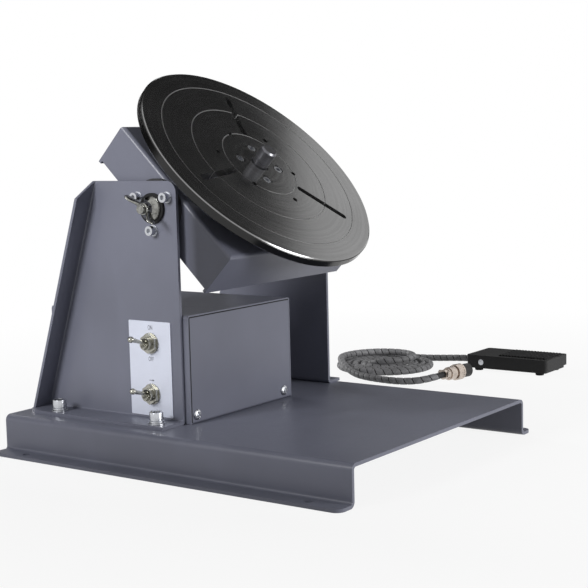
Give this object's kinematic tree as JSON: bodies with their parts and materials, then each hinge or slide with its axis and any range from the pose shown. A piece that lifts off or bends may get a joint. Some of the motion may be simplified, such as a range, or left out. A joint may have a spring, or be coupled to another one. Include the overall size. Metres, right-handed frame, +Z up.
{
  "type": "welding positioner",
  "caption": "Bench welding positioner: motor-driven slotted faceplate on a tilting head between two uprights, with a control box and a corded foot pedal.",
  "frame": {"origin": "on the bench surface, at the centre of the four lip holes of the base", "axes": "+Z up, +X along the base's bends towards the side the faceplate leans to, -Y towards the side with the tilt clamp and the switches"},
  "size_m": [0.389, 0.6642, 0.3473],
  "materials": {
    "frame_paint": "blue-grey powder coat, satin",
    "black_steel": "black oxide, satin",
    "plate_steel": "blackened steel with turning marks",
    "zinc": "zinc plated",
    "bright_steel": "nickel plated",
    "machined_steel": "machined",
    "cast_alloy": "machined aluminium",
    "label": "anodised plate with dark lettering",
    "black_plastic": "moulded, fine grain",
    "switch_body": "moulded",
    "circuit": "circuit board with components",
    "rubber": "moulded",
    "pedal_paint": "black powder coat",
    "cord_sleeve": "spiral wrap over a cable"
  },
  "bodies": {
    "stand": {"base_channel": "frame_paint", "near_upright": "frame_paint", "far_upright": "frame_paint", "control_box_chassis": "frame_paint", "control_box_lid": "frame_paint", "upright_bolts": "zinc", "upright_bolt_washers": "zinc", "upright_bolt_nuts": "zinc", "flange_screws": "zinc", "flange_screw_washers": "zinc", "near_bearing_flange": "machined_steel", "far_bearing_flange": "machined_steel", "friction_washer": "rubber", "box_cover_screws": "zinc", "box_floor_screws": "zinc", "power_supply": "zinc", "speed_board": "circuit", "speed_potentiometer": "machined_steel", "mains_inlet": "black_plastic", "pedal_socket": "bright_steel", "label_plate": "label", "toggle_switch_bodies": "switch_body", "toggle_switch_nuts": "bright_steel", "pedal_base": "pedal_paint", "pedal_feet": "rubber", "pedal_pivot_pin": "zinc", "pedal_microswitch": "black_plastic", "pedal_spring": "machined_steel", "pedal_gland": "black_plastic", "pedal_cord_lead": "cord_sleeve", "pedal_cord_coil": "cord_sleeve", "pedal_cord_tail": "cord_sleeve", "plug_cord_clamp": "bright_steel", "plug_body": "bright_steel", "plug_insert": "black_plastic"},
    "tilting_head": {"tilt_housing": "frame_paint", "near_trunnion": "machined_steel", "far_trunnion": "machined_steel", "far_trunnion_nut": "zinc", "bearing_housing": "cast_alloy", "bearing_outer_rings": "machined_steel", "gear_plate": "machined_steel", "head_screws_and_spacers": "zinc", "gearbox": "machined_steel", "gear_motor": "zinc"},
    "turntable": {"faceplate": "plate_steel", "spindle": "machined_steel", "faceplate_screws": "zinc", "bearing_inner_rings": "machined_steel", "driven_gear": "machined_steel", "spindle_retaining_ring": "black_steel"},
    "pinion": {"drive_pinion": "machined_steel"},
    "clamp": {"clamp_cone": "bright_steel"},
    "wings": {"wing_nut": "bright_steel"},
    "power_lever": {"power_switch_lever": "bright_steel"},
    "direction_lever": {"direction_switch_lever": "bright_steel"},
    "knob": {"speed_knob": "black_plastic"},
    "treadle": {"treadle": "pedal_paint", "treadle_pad": "rubber"},
    "plug_ring": {"plug_coupling_ring": "bright_steel"}
  },
  "joints": [
    {"name": "tilt", "type": "hinge", "parent": "stand", "child": "tilting_head", "pos_m": [-0.0415, 0, 0.226], "axis": [0, 1, 0], "range_deg": [-44, 46]},
    {"name": "table_spin", "type": "hinge", "parent": "tilting_head", "child": "turntable", "pos_m": [-0.00718, 0.01, 0.26154], "axis": [0.6947, 0, 0.7193], "continuous": true},
    {"name": "pinion_spin", "type": "hinge", "parent": "tilting_head", "child": "pinion", "pos_m": [-0.08806, 0.01, 0.25984], "axis": [0.6947, 0, 0.7193], "continuous": true},
    {"name": "wing_turn", "type": "hinge", "parent": "clamp", "child": "wings", "pos_m": [-0.0415, -0.112, 0.226], "axis": [0, -1, 0], "range_deg": [0, 360]},
    {"name": "clamp_slide", "type": "slide", "parent": "tilting_head", "child": "clamp", "axis": [0, -1, 0], "range_m": [0, 0.00126]},
    {"name": "power_toggle", "type": "hinge", "parent": "stand", "child": "power_lever", "pos_m": [-0.0495, -0.1067, 0.106], "axis": [1, 0, 0], "range_deg": [0, 34]},
    {"name": "direction_toggle", "type": "hinge", "parent": "stand", "child": "direction_lever", "pos_m": [-0.0495, -0.1067, 0.06], "axis": [1, 0, 0], "range_deg": [0, 34]},
    {"name": "speed_turn", "type": "hinge", "parent": "stand", "child": "knob", "pos_m": [-0.1765, -0.062, 0.096], "axis": [-1, 0, 0], "range_deg": [-150, 150]},
    {"name": "treadle_press", "type": "hinge", "parent": "stand", "child": "treadle", "pos_m": [-0.005, 0.468, 0.011], "axis": [0, 1, 0], "range_deg": [0, 3.5], "stiffness_Nm_per_rad": 1.5, "springref_deg": -11.46, "deforming": ["pedal_spring"]},
    {"name": "plug_ring_turn", "type": "hinge", "parent": "stand", "child": "plug_ring", "pos_m": [-0.00209, 0.37443, 0.0095], "axis": [0.2079, 0.9781, 0], "continuous": true}
  ],
  "couplings": [
    {"joint": "pinion_spin", "follows": "table_spin", "ratio": -2.8},
    {"joint": "clamp_slide", "follows": "wing_turn", "m_per_rad": 0.00019894}
  ]
}
